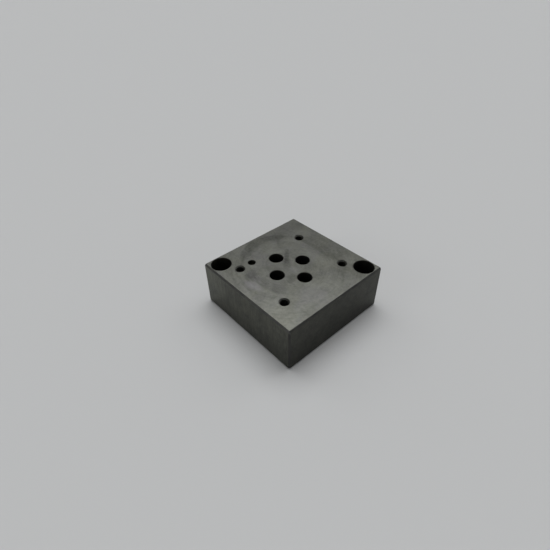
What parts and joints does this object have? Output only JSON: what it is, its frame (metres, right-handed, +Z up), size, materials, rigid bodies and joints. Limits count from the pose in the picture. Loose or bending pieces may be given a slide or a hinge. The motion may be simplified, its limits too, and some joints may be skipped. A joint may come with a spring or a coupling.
{
  "type": "hydraulic valve subplate",
  "caption": "Square steel subplate block with a size 03 directional valve face on top, pipe ports underneath and counterbored fixing holes at opposite corners.",
  "frame": {"origin": "middle of the underside", "axes": "+Z up, out of the valve face; X along the valve's long axis, with the narrow bolt row at +X; +Y towards the locating pin hole and port P"},
  "size_m": [0.0636, 0.0636, 0.0254],
  "materials": {
    "steel": "machined and ground, bare and slightly oily"
  },
  "bodies": {
    "root": {"subplate_body": "steel"}
  },
  "joints": []
}
